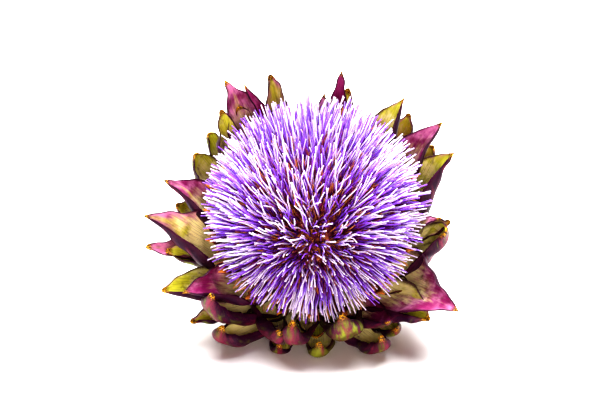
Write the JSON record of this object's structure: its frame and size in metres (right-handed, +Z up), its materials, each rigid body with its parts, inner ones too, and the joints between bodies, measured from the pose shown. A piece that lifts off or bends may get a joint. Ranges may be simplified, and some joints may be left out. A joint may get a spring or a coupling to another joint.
{
  "type": "artichoke",
  "caption": "Globe artichoke in full flower, cut with a short stem and lying tilted: pointed and blunt bracts ring a dome of thin upright florets.",
  "frame": {"origin": "centre of the bounding box in X and Y, on the surface that the head rests on", "axes": "+Z up from the surface, the open flower faces -Y and looks up, +X to the right for someone looking into the flower"},
  "size_m": [0.1363, 0.1066, 0.1102],
  "materials": {
    "bract": "waxy plant skin, plum and green",
    "floret": "soft lavender and violet florets"
  },
  "bodies": {
    "root": {"bracts_on_heart": "bract", "florets": "floret"}
  },
  "joints": []
}
